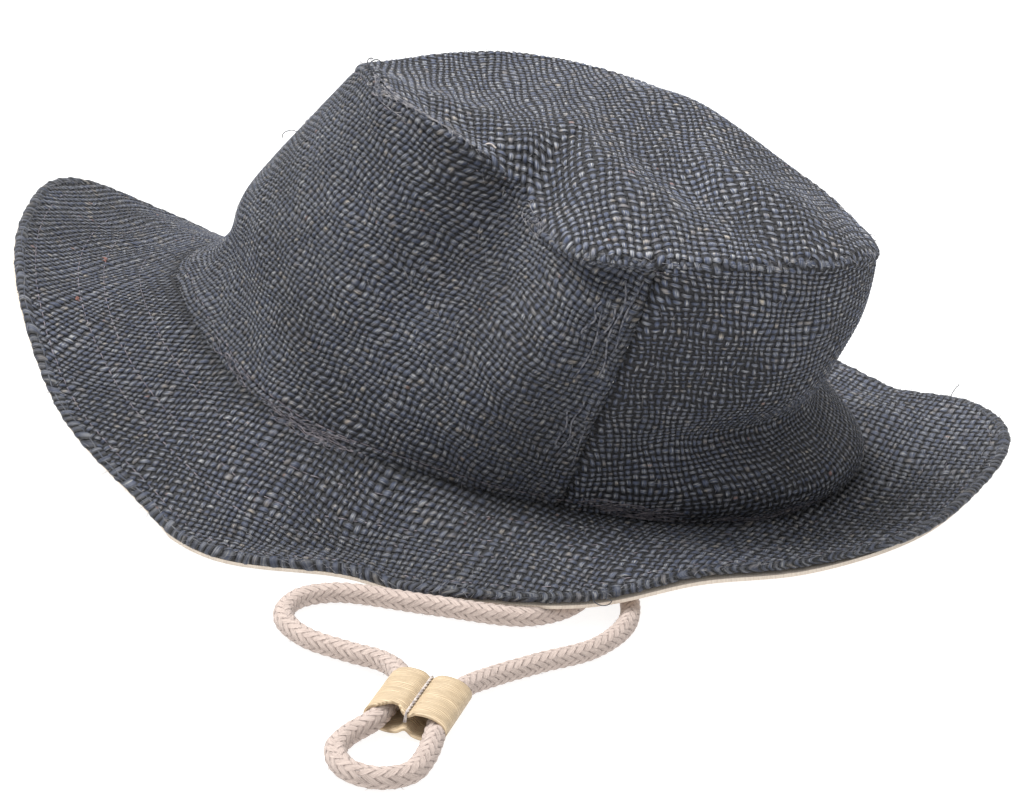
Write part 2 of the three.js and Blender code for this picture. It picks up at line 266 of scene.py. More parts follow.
# Two directions square to a path at each of its points, carried along it without twist.
def pathFrames(path):
    ahead = unit(np.gradient(path, axis=0))
    side = np.empty_like(path)
    last = np.cross(ahead[0], (1.0, 0, 0))
    for k in range(len(path)):
        last = last - ahead[k] * (last @ ahead[k])
        last /= np.linalg.norm(last)
        side[k] = last
    return ahead, side, np.cross(side, ahead)


# Rings round one path or many: the path plus radius times (cos(turn) side + sin(turn) lift).
def ringsRound(path, radius, side, lift, sides):
    turn = 2 * np.pi * np.arange(sides)[:, None] / sides
    ring = np.cos(turn) * side[..., None, :] + np.sin(turn) * lift[..., None, :]
    return path[..., None, :] + radius[..., None] * ring


# What the plaited and the woven cotton have in common.
cotton = {"over": 1, "slub": 0.1, "drop": 0.2, "floor": 0, "loose": 0}
# The chin cord: points along its route in metres, the same as the solid's, and its plait.
chinCord = {
    "diameter": 0.005, "length": 0.608, "rings": 960, "sides": 26, "plait": 2.75, "strands": 8, "relief": 0.45,
    "sunk": 0.75, "hairs": 520, "hairRoot": 2.35, "hairRun": 1.6,
    "braid": {**cotton, "ride": 0.6, "crown": 0.8, "over": 2, "warp": 0.47, "weft": 0.47},
    "route": (
        (-0.0212, 0.0698, 0.038), (-0.0216, 0.0695, 0.020), (-0.0195, 0.062, 0.0085), (-0.015, 0.047, 0.004),
        (-0.006, 0.020, 0.003), (0.010, -0.048, 0.0028), (0.020, -0.075, 0.0028), (0.0305, -0.092, 0.0028),
        (0.0345, -0.107, 0.0028), (0.030, -0.1195, 0.0028), (0.019, -0.128, 0.0028), (-0.005, -0.129, 0.0028),
        (-0.031, -0.1295, 0.0028), (-0.040, -0.136, 0.0028), (-0.0415, -0.146, 0.0028),
        (-0.0345, -0.1545, 0.0028), (-0.0225, -0.1592, 0.003), (-0.0128, -0.163, 0.0038),
        (-0.0078, -0.1688, 0.0044), (-0.0076, -0.180, 0.0045), (-0.0103, -0.1905, 0.004),
        (-0.0154, -0.1976, 0.003), (-0.0171, -0.2046, 0.0028), (-0.0132, -0.2113, 0.0028),
        (-0.0058, -0.2132, 0.0028), (0.0011, -0.2093, 0.0028), (0.0037, -0.2018, 0.0031),
        (0.0052, -0.183, 0.0045), (0.0082, -0.171, 0.0042), (0.015, -0.161, 0.0031),
        (0.0255, -0.1508, 0.0028), (0.0385, -0.1395, 0.0028), (0.0458, -0.124, 0.0028),
        (0.045, -0.108, 0.0028), (0.037, -0.090, 0.0029), (0.027, -0.0718, 0.003), (0.0227, -0.064, 0.0062),
        (0.0209, -0.0608, 0.0138), (0.0225, -0.0637, 0.0216), (0.0262, -0.0704, 0.025))}


# Height of woven or plaited yarns over u, v in pitches: each yarn is round across, crown times
# sqrt(1 - (side / half)^2), and rides over and under its neighbours, ride times sin(pi (cell + along)
# / over). The upper of the two yarns shows, or the gap beside both of them.
def weaveHeight(u, v, cloth):
    cellU, cellV = np.floor(u), np.floor(v)

    def yarn(wave, across):
        height = wave + cloth["crown"] * np.sqrt(np.clip(1 - across ** 2, 0, 1))
        return height - cloth["drop"] * np.clip((np.abs(across) - 1) * 4, 0, 1)

    warp = yarn(cloth["ride"] * np.sin(np.pi * (cellU + v) / cloth["over"]), (u - cellU - 0.5) / cloth["warp"])
    weft = yarn(-cloth["ride"] * np.sin(np.pi * (u + cellV) / cloth["over"]), (v - cellV - 0.5) / cloth["weft"])
    return np.maximum(np.maximum(warp, weft), cloth["floor"])


weftNumber = 371.0  # where the numbers of the wefts start, so that no noise repeats a warp's


# The same height as nodes, with yarns that swell and thin, and what a finish needs to know of the
# yarn on top.
def weaveNodes(finish, cloth):
    uv, u, v = finish.weavePlace()
    cellU, cellV = u.whole(), v.whole()
    loose = 1 - finish.ramp(finish.noise(uv, 0.045, 1), 0.42, 0.66) * cloth["loose"]

    def yarn(cell, side, along, half, wave):
        swell = finish.noise(finish.join(cell * 3.3, along * 0.16)) * cloth["slub"] + (1 - cloth["slub"] / 2)
        swell = swell * loose
        across = side / (swell * half)
        roundTop = (1 - across * across).atLeast(0).root() * cloth["crown"]
        missed = finish.ramp(across.size(), 1.0, 1.25) * cloth["drop"]
        return wave + roundTop - missed, across

    warpWave = (math.pi / cloth["over"] * (cellU + v)).sine() * cloth["ride"]
    weftWave = (math.pi / cloth["over"] * (u + cellV)).sine() * -cloth["ride"]
    warp, acrossWarp = yarn(cellU, u - cellU - 0.5, v, cloth["warp"], warpWave)
    weft, acrossWeft = yarn(cellV + weftNumber, v - cellV - 0.5, u, cloth["weft"], weftWave)
    isWarp = warp > weft
    number, along = finish.choose(isWarp, cellV + weftNumber, cellU), finish.choose(isWarp, u, v)

    # noise that differs from yarn to yarn, stretched along each
    def noise(apart, stretch, detail=0.0, across=0.0):
        return finish.noise(finish.join(number * apart + across, along * stretch), detail=detail)

    return {"height": warp.atLeast(weft).atLeast(cloth["floor"]), "uv": uv, "noise": noise,
            "side": finish.choose(isWarp, acrossWeft, acrossWarp)}


# Braided cotton: pale strands with fine fibres along them, and shade between the strands.
def cottonBraid():
    finish = Finish("braided_cotton", Roughness=0.9, Sheen_Weight=0.08)
    yarn = weaveNodes(finish, chinCord["braid"])
    fibre = yarn["noise"](3.1, 0.6, 3, yarn["side"] * 8)
    shade = finish.ramp(yarn["height"], 0.1, 1.0, 0.25, 1.0) * finish.ramp(fibre, 0.32, 0.6, 0.45, 1.12)
    finish.give("Base Color", finish.tint(shade, (0.17, 0.12, 0.105, 1), (0.56, 0.462, 0.41, 1)))
    finish.bump(yarn["height"] + fibre * 0.4, 0.0003)
    return finish


# The cord: rings round its route, their radius raised by the plait's height, with both ends closed. The
# strands run both ways round: strands times turn, plus and minus the way along over the plait's length.
def makeCord():
    plan = chinCord
    rings, sides = plan["rings"], plan["sides"]
    path, length = smoothPath(np.array(plan["route"]) / metre, rings)
    run = np.linspace(0, length, rings)[:, None] / plan["plait"]
    turned = plan["strands"] * (np.arange(sides)[None, :] / sides)
    relief = plan["relief"] * (weaveHeight(turned + run, turned - run, plan["braid"]) - plan["sunk"])
    side, lift = pathFrames(path)[1:]
    points = ringsRound(path, plan["diameter"] / 2 / metre + relief, side, lift, sides)
    points[..., 2] = np.maximum(points[..., 2], 0.05)  # pressed flat where it lies on the surface
    quads = gridFaces(rings, sides, wrapColumns=True, flip=True)
    ends = [list(range(sides))[::-1], list(range((rings - 1) * sides, rings * sides))]
    closing = np.repeat(np.arange(len(quads)) % sides == sides - 1, 4)

    # the corners that close a ring lie at its last side and one more, not back at its first
    def braidPlace(corners):
        sideNo = (corners % sides).astype(float)
        sideNo[:len(closing)][closing & (sideNo[:len(closing)] == 0)] = sides
        across, along = plan["strands"] * (sideNo / sides), run[corners // sides, 0]
        return np.stack([across + along, across - along], axis=1)

    cord = makePiece("cord_plaited", points, quads.tolist() + ends, cottonBraid(), braidPlace)
    declare(cord, "chin_cord")
    return cord, path * metre


cordPiece, cordPath = makeCord()
print("chin cord made")

# The hat's plan and heights, one row for each direction round it (degrees from the back, +X):
# distance to the base seam and its height, to the brim's edge and its height, from the tip's centre to
# the tip seam and its height, how far the wall stands out between its seams, how far the brim dips.
sectionNames = ("dir", "baseOut", "baseUp", "edgeOut", "edgeUp", "tipOut", "tipUp", "belly", "cup")
sections = (
    (0, 111, 4.5, 154.5, 19, 78, 85, -2, 3),
    (15, 107, 5, 153.5, 13, 72, 86.5, 0, 2),
    (30, 97, 6.5, 142, 2, 68, 88, 3, 1),
    (45, 87, 8.5, 136, 0, 66, 91, 5, 1),
    (60, 80, 11.5, 129, 0, 67, 95.5, 6, 2),
    (75, 77, 14.5, 125, 1, 68, 99.5, 6, 3),
    (90, 76, 18, 124.5, 2, 70, 103, 6, 4),
    (105, 79, 21.5, 125, 1, 73, 105.5, 6, 4),
    (120, 85, 25.5, 130, 0, 75, 107, 6, 4),
    (135, 93, 29.5, 140, 9, 77, 107, 6, 2),
    (150, 100, 33.5, 151, 29.5, 78, 107, 4, 4),
    (165, 106, 37.5, 160, 49, 76, 110, 1, 5),
    (180, 107, 39.5, 156, 51, 72, 114, 1, 5),
    (195, 103, 39, 151, 42, 70, 119, 1, 4),
    (210, 98, 33, 143, 19, 66, 115, 3, 1),
    (225, 94, 26.5, 134, 6, 55, 108, 5, 1),
    (240, 88, 21.5, 134, 0, 41, 96, 6, 2),
    (255, 82, 17.5, 120, 0, 50, 90, 6, 2),
    (270, 78, 13.5, 126, 6, 70, 90, 5, 1),
    (285, 78, 10.5, 129.5, 9.6, 77, 91, 2, 0),
    (300, 80, 6.5, 127, 14, 80, 91, 1, 0),
    (315, 87, 4, 130, 12.5, 82, 90, 0, 1),
    (330, 97, 3.5, 140.5, 15, 86, 89, 0, 2),
    (345, 106, 4, 146.5, 17, 85, 86, 0, 3))
hatShape = dict(zip(sectionNames, np.array(sections, dtype=float).T))
tipCentre = np.array([20.0, -15.0, 104.0])
brimStack = 2.9  # hemp, a little room and the cotton facing, where the brim lies flat
nearEar, farEar = 287, 107  # directions of the two seams of the crown's wall

# Dents of the wall: direction and half width in degrees, rise and half height as shares of the wall,
# depth in mm. A negative depth stands out.
wallDents = (
    (330, 28, 0.31, 0.11, 11),     # crease over the back roll
    (330, 36, 0.12, 0.1, -5),      # roll above the base seam
    (8, 28, 0.46, 0.21, 15.5),     # hollow at the back
    (279, 9, 0.93, 0.07, 5),       # pinch under the tip seam
    (258, 14, 0.82, 0.16, 4),      # dip below the notch
    (185, 35, 0.15, 0.16, 7))      # sweep out to the brim
# Folds of the tip: place, half length, half width, turn in degrees, height.
tipFolds = (
    (-12, -46, 30, 10, -30, -4),   # valley behind the seam
    (16, -30, 46, 14, -69, 3),     # ridge from the notch
    (42, -40, 32, 11, -50, -4.5),  # valley beside the ridge
    (72, -42, 25, 14, -50, 3),     # swell at the back
    (50, 22, 35, 22, -30, 6.5))    # swell on the far side


# A column of the table at any angle: the closed Catmull-Rom curve through its rows.
def around(name, angle):
    values = hatShape[name]
    place = np.asarray(angle) / (2 * np.pi) * len(values)
    row = np.floor(place).astype(int)
    f = place - row
    a, b, c, d = (values[(row + k) % len(values)] for k in (-1, 0, 1, 2))
    return b + 0.5 * f * (c - a + f * (2 * a - 5 * b + 4 * c - d + f * (3 * (b - c) + d - a)))


# Upper face of the brim: a straight line from base to edge, less 4 across (1 - across) times the cup,
# and never lower than the cloths lying flat.
def brimSurface(angle, across):
    out = around("baseOut", angle) * (1 - across) + around("edgeOut", angle) * across
    dip = 4 * across * (1 - across) * around("cup", angle) * (across > 0)
    up = around("baseUp", angle) * (1 - across) + around("edgeUp", angle) * across - dip
    return np.stack([out * np.cos(angle), out * np.sin(angle), np.maximum(up, brimStack)], axis=-1)


# The seam between wall and tip: the tip's centre plus tipOut in the direction of the angle.
def tipSeam(angle):
    out, up = around("tipOut", angle), around("tipUp", angle)
    return np.stack([tipCentre[0] + out * np.cos(angle), tipCentre[1] + out * np.sin(angle), up], axis=-1)


# Sum of the dents, each depth times exp(-gap^2 - lift^2), faded out at both seams.
def dentDepth(angle, rise):
    fade = np.minimum(np.minimum(rise / 0.06, (1 - rise) / 0.05), 1)
    total = np.zeros(np.broadcast(angle, rise).shape)
    for direction, halfWidth, height, halfRise, depth in wallDents:
        turned = angle - math.radians(direction)
        gap = np.arctan2(np.sin(turned), np.cos(turned)) / math.radians(halfWidth)
        total = total + fade * depth * np.exp(-gap ** 2 - ((rise - height) / halfRise) ** 2)
    return total


# Outer face of the wall: a straight line from base seam to tip seam, pushed outward by the belly
# times sin(pi rise), less the dents.
def wallSurface(angle, rise):
    push = around("belly", angle) * np.sin(np.pi * rise) - dentDepth(angle, rise)
    rise = rise[..., None]
    point = brimSurface(angle, np.zeros_like(angle)) * (1 - rise) + tipSeam(angle) * rise
    point[..., 0] += push * np.cos(angle)
    point[..., 1] += push * np.sin(angle)
    return point


# Upper face of the tip: a line from its centre to the seam, whose height goes with reach squared, plus
# the folds, each height times exp(-along^2 - beside^2), faded out at the seam.
def tipSurface(angle, reach):
    seam = tipSeam(angle)
    point = tipCentre + (seam - tipCentre) * reach[..., None]
    point[..., 2] = tipCentre[2] + (seam[..., 2] - tipCentre[2]) * reach ** 2
    for x, y, halfLength, halfWidth, turn, height in tipFolds:
        turn = math.radians(turn)
        dx, dy = point[..., 0] - x, point[..., 1] - y
        along = (dx * math.cos(turn) + dy * math.sin(turn)) / halfLength
        beside = (dy * math.cos(turn) - dx * math.sin(turn)) / halfWidth
        point[..., 2] += height * np.exp(-along ** 2 - beside ** 2) * (1 - reach ** 6)
    return point


# Hemp cloth: thickness in mm, and how far the yarns wander in pitches.
hemp = {"thickness": 1.6, "sunk": 0.42, "wander": 0.26, "innerStep": 4}
# The cloth of each panel: pitches of warp and weft in mm, half widths of the yarns in pitches, ride,
# crown, drop and floor of their relief in mm, slub and loose as shares that a yarn's width comes and
# goes. gain brightens the finish, and the painted shade in its gaps reaches up to the height dark and
# ends over span.
weaves = {
    "tip": {"pitches": (2.12, 2.65), "warp": 0.4, "weft": 0.27, "ride": 0.46, "crown": 0.46, "loose": 0.22,
            "gain": 1.76, "dark": 0.38, "span": 0.53},
    "front": {"pitches": (1.8, 1.65), "warp": 0.39, "weft": 0.34, "ride": 0.42, "crown": 0.42, "loose": 0.2,
              "gain": 1.06, "dark": 0.12, "span": 0.7},
    "back": {"pitches": (1.85, 1.8), "warp": 0.34, "weft": 0.31, "ride": 0.42, "crown": 0.42, "loose": 0.28,
             "gain": 1.62, "dark": 0.24, "span": 0.65},
    "brim": {"pitches": (2.1, 1.55), "warp": 0.35, "weft": 0.35, "ride": 0.44, "crown": 0.44, "loose": 0.22,
             "gain": 1.3, "dark": 0.26, "span": 0.6},
    "hem": {"pitches": (2.6, 4.2), "warp": 0.43, "weft": 0.06, "ride": 0.1, "crown": 0.7, "loose": 0,
            "gain": 1.05, "dark": 0.25, "span": 0.7}}


# Yarns that don't run quite straight: slow waves of a few lengths added to the place on the cloth.
def wander(u, v, seed):
    rng = np.random.default_rng(seed)
    du, dv = np.zeros_like(u), np.zeros_like(v)
    for length in (31, 17, 9, 6):
        turnA, turnB, phaseA, phaseB = rng.uniform(0, 2 * np.pi, 4)
        waveA = np.sin(2 * np.pi * (u * np.cos(turnA) + v * np.sin(turnA)) / length + phaseA)
        waveB = np.sin(2 * np.pi * (u * np.cos(turnB) + v * np.sin(turnB)) / length + phaseB)
        du, dv = du + hemp["wander"] * waveA * 0.8, dv + hemp["wander"] * waveB * 0.8
    return np.stack([u + du, v + dv], axis=-1)


# Hemp relief over a smooth grid: the weave's height less its mean, along the normal.
def relief(points, uv, outward, cloth):
    normal = gridNormals(points)
    middle = tuple(k // 2 for k in points.shape[:2])
    if normal[middle] @ outward < 0:
        normal = -normal
    full = {**cloth, "warp": 0.47, "weft": 0.47}  # the grid is too coarse for the gaps, which are bump
    height = weaveHeight(uv[..., 0], uv[..., 1], full) - hemp["sunk"]
    return points + normal * height[..., None], normal


# Loose hemp yarns: dark blue-grey dye with pale fibres running along them, tan and rusty flecks, and
# painted shade, near black, in the gaps between. The whole is times gain and the painted shade that each
# point of the mesh carries.
def hempFinish(name, cloth):
    finish = Finish(f"hemp_{name}_cloth", Roughness=0.62, Sheen_Weight=0.06, Sheen_Roughness=0.4)
    yarn = weaveNodes(finish, cloth)
    tone = yarn["noise"](3.7, 0.5, 1)
    fibre = yarn["noise"](7.3, 0.8, 2, yarn["side"] * 3.0)
    patch = finish.noise(yarn["uv"], 0.06, 1)
    fleck = yarn["noise"](5.9, 0.6, 1, 40)
    rust = yarn["noise"](4.3, 0.9, 0, 90)
    shade = finish.node("ShaderNodeAttribute", {"attribute_name": "shade"}, {}, "Fac")
    pale = finish.ramp(fibre, 0.38, 0.74) * finish.ramp(tone, 0.25, 0.75, 0.2, 1.3)
    # painted shade in the gaps between yarns, from the weave's height, and darker patches here and there
    gapShadeAndPatches = finish.ramp(yarn["height"], cloth["dark"], cloth["dark"] + cloth["span"])
    gapShadeAndPatches = gapShadeAndPatches * finish.ramp(patch, 0.3, 0.7, 0.76, 1.0)
    dyeAndGapShade = finish.tint(pale, (0.036, 0.047, 0.084, 1), (0.290, 0.290, 0.288, 1))
    tan = finish.ramp(fleck, 0.56, 0.72, 0.0, 0.62) * (pale * 0.8 + 0.35)
    dyeAndGapShade = finish.tint(tan, dyeAndGapShade, (0.30, 0.245, 0.17, 1))
    dyeAndGapShade = finish.tint(finish.ramp(rust, 0.79, 0.85, 0.0, 0.45), dyeAndGapShade, (0.25, 0.12, 0.07, 1))
    # painted shade: where the weave is low, between the yarns, the colour goes to near black
    dyeAndGapShade = finish.tint(gapShadeAndPatches, (0.005, 0.005, 0.007, 1), dyeAndGapShade)
    finish.give("Base Color", finish.times(dyeAndGapShade, shade * cloth["gain"]))
    finish.bump(yarn["height"] + fibre * 0.3, 0.0011)
    return finish


for name, cloth in weaves.items():
    cloth.update({"over": 1, "slub": 0.7, "drop": 0.8, "floor": -0.3})
    cloth["finish"] = hempFinish(name, cloth)


# Place on the cloth in pitches: x, y in mm turned to the grain.
def onGrain(x, y, grain, cloth):
    turn = math.radians(grain)
    return ((x * math.cos(turn) + y * math.sin(turn)) / cloth["pitches"][0],
            (y * math.cos(turn) - x * math.sin(turn)) / cloth["pitches"][1])


# How far a panel's edge turns in towards its seam: depth times (1 - gap / width)^2.
def tuck(gap, depth, width):
    return depth * np.clip(1 - gap / width, 0, 1) ** 2


# A rounded rise beside a seam: height times exp(-((gap - place) / width)^2).
def mound(gap, place, width, height):
    return height * np.exp(-((gap - place) / width) ** 2)


tipPlan = {"samples": (281, 265), "grain": 12, "seed": 5, "flat": (0.152, 0.172), "area": 0.0196,
           "rimMound": (3.2, 1.4, 0.35), "rimTuck": (1.3, 2.2), "rimShade": (0.5, 1.6)}


# The tip: a square grid drawn out to a disc, x = a sqrt(1 - b^2 / 2), y = b sqrt(1 - a^2 / 2).
def makeTip():
    cloth = weaves["tip"]
    a, b = np.meshgrid(*(np.linspace(-1, 1, count) for count in tipPlan["samples"]), indexing="ij")
    x, y = a * np.sqrt(1 - b ** 2 / 2), b * np.sqrt(1 - a ** 2 / 2)
    reach, angle = np.hypot(x, y), np.arctan2(y, x)
    point = tipSurface(angle, reach)
    gap = (1 - reach) * around("tipOut", angle)
    point[..., 2] += mound(gap, *tipPlan["rimMound"]) - tuck(gap, *tipPlan["rimTuck"])
    uv = wander(*onGrain(point[..., 0], point[..., 1], tipPlan["grain"], cloth), tipPlan["seed"])
    outer, normal = relief(point, uv, (0, 0, 1), cloth)
    shade = 1 - tuck(gap, *tipPlan["rimShade"])
    piece = makeCloth("hemp_tip", outer, point - normal * hemp["thickness"], uv, cloth, shade)
    declareCloth(piece, "crown_tip")


makeTip()
print("tip made")

wallPlans = {
    "hemp_front": {"node": "crown_side_front", "from": farEar, "to": nearEar, "samples": (521, 165), "grain": 5,
                   "cloth": "front", "flat": (0.300, 0.096), "area": 0.0252, "seed": 11, "paler": 0.0,
                   "spacing": ((180, 1.08), (200, 1.0), (217, 0.9), (232, 1.05), (248, 1.13), (262, 1.05),
                               (280, 0.98))},
    "hemp_back": {"node": "crown_side_back", "from": nearEar, "to": farEar + 360, "samples": (497, 161),
                  "grain": 0, "cloth": "back", "flat": (0.300, 0.096), "area": 0.0252, "seed": 12,
                  "paler": 0.18,
                  "spacing": ((287, 0.95), (307, 1.02), (322, 0.95), (337, 0.9), (360, 1.0))}}
coneRadius = 469.0  # of the flattened wall panels, from the cone's point to the base seam
# The walls' edges in mm. Tucks and shades are depth and width, mounds and grooves place, width, height.
wallEdges = {"endTuck": (1.5, 3.0), "endMound": (3.4, 1.2, 0.35), "topTuck": (1.2, 1.4), "baseTuck": (0.9, 2.6),
             "topGroove": (3.9, 0.7, 0.3), "topMound": (1.9, 0.9, 0.4), "baseGroove": (4.2, 0.7, 0.5),
             "endShade": (0.6, 2.0), "topShade": (0.5, 1.5), "baseShade": (0.6, 5.0),
             "endPale": (4.0, 1.5, 0.12)}


# A wall panel on a grid of angle and rise. Its yarns run straight on the flattened cone: with v the
# way up the wall and arc the way round, turn = arc / radius, and the yarns lie at
# (radius - v) sin(turn) and radius - (radius - v) cos(turn). spacing widens or narrows them by place.
def makeWall(name):
    plan, edges = wallPlans[name], wallEdges
    cloth = weaves[plan["cloth"]]
    n, m = plan["samples"]
    directions = np.linspace(plan["from"], plan["to"], n)
    angle, rise = np.meshgrid(np.radians(directions), np.linspace(-0.014, 1, m), indexing="ij")
    point = wallSurface(angle, rise)
    stepsUp = np.linalg.norm(np.diff(point, axis=1), axis=2)
    up = np.concatenate([np.zeros((n, 1)), np.cumsum(stepsUp, axis=1)], axis=1)
    below = up[:, -1:] - up
    stepsRound = np.linalg.norm(np.diff(point[:, m // 3], axis=0), axis=1)
    ends = np.concatenate([[0], np.cumsum(stepsRound)])
    ends = np.minimum(ends, ends[-1] - ends)[:, None]
    spacing = np.interp(directions[1:], *zip(*plan["spacing"]))
    arc = np.concatenate([[0], np.cumsum(stepsRound / spacing)])
    turned = (arc - arc[n // 2])[:, None] * np.ones((1, m)) / coneRadius
    x, y = (coneRadius - up) * np.sin(turned), coneRadius - (coneRadius - up) * np.cos(turned)
    uv = wander(*onGrain(x, y, plan["grain"], cloth), plan["seed"])
    outward = np.stack([np.cos(angle), np.sin(angle), 0 * angle], axis=-1)
    normal = gridNormals(point)
    normal *= np.sign(np.sum(normal * outward, axis=-1, keepdims=True))
    push = tuck(ends, *edges["endTuck"]) - mound(ends, *edges["endMound"]) + tuck(below, *edges["topTuck"])
    push = push + tuck(up, *edges["baseTuck"])
    grooves = mound(below, *edges["topGroove"]) - mound(below, *edges["topMound"])
    push += grooves + mound(up, *edges["baseGroove"])
    point = point - normal * push[..., None]
    outer, normal = relief(point, uv, outward[n // 2, m // 2], cloth)
    # painted shade in the tucks at the ends, top and base, with a lighter band beside the ends and, where paler
    # is set, lighter towards the top
    shade = 1 - tuck(ends, *edges["endShade"]) - tuck(below, *edges["topShade"]) - tuck(up, *edges["baseShade"])
    shade = shade + mound(ends, *edges["endPale"])
    shade = np.clip(shade * (1 + plan["paler"] * np.clip((rise - 0.5) / 0.3, 0, 1)), 0.1, 1.3)
    piece = makeCloth(name, outer, point - normal * hemp["thickness"], uv, cloth, shade)
    declareCloth(piece, plan["node"])


for wallName in wallPlans:
    makeWall(wallName)
print("walls made")

# The brim: shares of its width, mm, and degrees round the hat. Shades are depth and width.
brimPlan = {"grain": 163, "seed": 21, "insideCrown": -0.065, "insideHem": 1.5, "baseShade": (0.7, 7.0),
            "hemShade": (0.3, 3.0), "dim": 0.24, "dimAt": 266, "dimWidth": 22, "paleBack": 0.1}
brimPanels = {
    "hemp_brim_near": {"from": 150, "to": 380, "hinge": 66, "samples": (861, 97), "flat": (0.30, 0.27),
                       "area": 0.0256},
    "hemp_brim_far": {"from": 20, "to": 150, "hinge": -70, "samples": (361, 65), "flat": (0.24, 0.10),
                      "area": 0.0144}}
# waves: how the hem's yarns crowd and spread, each a height in pitches, a length in mm and a phase.
hemPlan = {"samples": (1440, 14), "inside": 1.3, "below": 0.85, "halfWidth": 1.9, "halfHeight": 1.4,
           "plump": 0.26, "braidedFrom": (4.5, 4.75), "braidedTo": (5.6, 5.9),
           "waves": ((0.3, 9.7, 0), (0.27, 3.4, 2), (0.16, 1.7, 0))}


# A smooth step from 0 at low to 1 at high.
def smoothStep(value, low, high):
    t = np.clip((value - low) / (high - low), 0, 1)
    return t * t * (3 - 2 * t)


# How the brim's grain is pulled in front, by y in mm: how much sideways and how much onward, in
# pitches a mm. Its rows open between each two x in mm by a share.
brimPull = {"sideways": ((-105, -75, 20, 22), (0, 0.1, 0.12, 0)), "onward": ((-100, -60), (0, 0.13)),
            "opened": ((0.38, -45, 20), (0.22, 20, 85))}


# Place on the brim's cloth in pitches: the straight grain, pulled askew in front, and with rows that
# open towards the back, from the row named hinge, and lean there.
def brimGrain(x, y, hinge):
    u, v = onGrain(x, y, brimPlan["grain"], weaves["brim"])
    front = 1 - smoothStep(x, -75, 75)
    line = np.arange(-135, 146)
    sideways, onward = (np.interp(line, *brimPull[way]) for way in ("sideways", "onward"))
    u = u + front * np.interp(y, line, np.cumsum(sideways)) + 0.05 * np.clip(x - 80, 0, None)
    v = v + front * (x + 95) * np.interp(y, line, onward)
    opened = sum(share * smoothStep(x, low, high) for share, low, high in brimPull["opened"])
    return u, v - opened * (v - hinge) - 0.0012 * np.clip(x - 65, 0, None) ** 2


# The brim's hemp, from inside the crown to just inside the hem.
def makeBrim(name):
    plan, cloth = brimPanels[name], weaves["brim"]
    n, m = plan["samples"]
    turns = np.radians(np.linspace(plan["from"], plan["to"], n))
    width = (around("edgeOut", turns) - around("baseOut", turns))[:, None]
    reached = 1 - brimPlan["insideHem"] / width
    share = np.linspace(brimPlan["insideCrown"], 1, m)[None, :] * reached
    point = brimSurface(turns[:, None] * np.ones((1, m)), share)
    uv = wander(*brimGrain(point[..., 0], point[..., 1], plan["hinge"]), brimPlan["seed"])
    outer, normal = relief(point, uv, (0, 0, 1), cloth)
    away, toHem = share * width, (reached - share) * width
    # painted shade, deepest round the direction dimAt, lighter towards the back, and darker into the seams at
    # the base and hem
    near = np.exp(-((np.degrees(turns) - brimPlan["dimAt"]) / brimPlan["dimWidth"]) ** 2)[:, None]
    atBack = smoothStep(point[..., 0], 10, 60) * (1 - smoothStep(point[..., 0], 125, 160))
    shade = 1 - brimPlan["dim"] * near + brimPlan["paleBack"] * atBack
    shade = shade * (1 - tuck(away, *brimPlan["baseShade"]) - tuck(toHem, *brimPlan["hemShade"]))
    inner = point - normal * hemp["thickness"]
    piece = makeCloth(name, outer, inner, uv, cloth, np.clip(shade, 0.1, 1.3))
    declareCloth(piece, "brim_top")


# The rolled hem: an ellipse carried round the edge, halfWidth cos(t) outward and halfHeight sin(t) up,
# its yarns wrapped square to the edge.
def makeHem():
    n, m = hemPlan["samples"]
    turns = 2 * np.pi * np.arange(n) / n
    edge = brimSurface(turns, np.ones(n))
    out = unit(edge - brimSurface(turns, np.full(n, 0.93)))
    up = unit(np.cross(out, np.roll(edge, -1, axis=0) - np.roll(edge, 1, axis=0)))
    centre = edge - hemPlan["inside"] * out - hemPlan["below"] * up
    t = np.pi * (1 + 2 * np.arange(m) / m)
    section = (hemPlan["halfWidth"] * np.cos(t)[None, :, None] * out[:, None, :]
               + hemPlan["halfHeight"] * np.sin(t)[None, :, None] * up[:, None, :])
    run = runAlong(edge)
    cells = round(run[-1] / weaves["hem"]["pitches"][0])
    u = run * cells / run[-1]
    for height, length, phase in hemPlan["waves"]:
        u = u + height * np.sin(run / length + phase)
    braided = smoothStep(turns, *hemPlan["braidedFrom"]) * (1 - smoothStep(turns, *hemPlan["braidedTo"]))
    v = (1 + braided)[:, None] * np.linspace(0, 2, m, endpoint=False) + 0.12 * np.sin(run / 5.3)[:, None]
    u = u[:, None] + braided[:, None] * 0.9 * np.abs(v % 2 - 1)
    uv = np.stack([u + 0.35 * np.sin(np.pi * v + run[:, None] / 31), v], axis=-1)
    lump = weaveHeight(uv[..., 0], uv[..., 1], weaves["hem"]) - 0.6
    plump = hemPlan["plump"] * (0.75 + 0.35 * np.sin(u * 1.3 + 1) * np.sin(u * 0.37))
    plump = plump * (1 - 0.35 * braided)[:, None]
    swell = 1 + 0.07 * np.sin(u * 1.9) + 0.05 * np.sin(u * 4.1) - 0.12 * braided[:, None] + plump * lump
    points = centre[:, None, :] + section * swell[..., None]
    points[..., 2] = np.maximum(points[..., 2], 0.4)
    piece = makePiece("hemp_hem", points, ringFaces(n, m), weaves["hem"]["finish"], uv, None, np.ones(n * m))
    declare(piece, "brim_top")


for panelName in brimPanels:
    makeBrim(panelName)
makeHem()
print("brim made")

facingPlan = {"thickness": 1.0, "depth": 1.9, "droop": 0.9, "droopAt": 306, "droopWidth": 26,
              "tucked": 0.05, "tuckedAt": 345,
              "samples": (300, 21), "flat": (0.31, 0.27), "area": 0.039, "pitch": 0.75,
              "weave": {**cotton, "ride": 0.3, "crown": 0.5, "warp": 0.45, "weft": 0.45}}


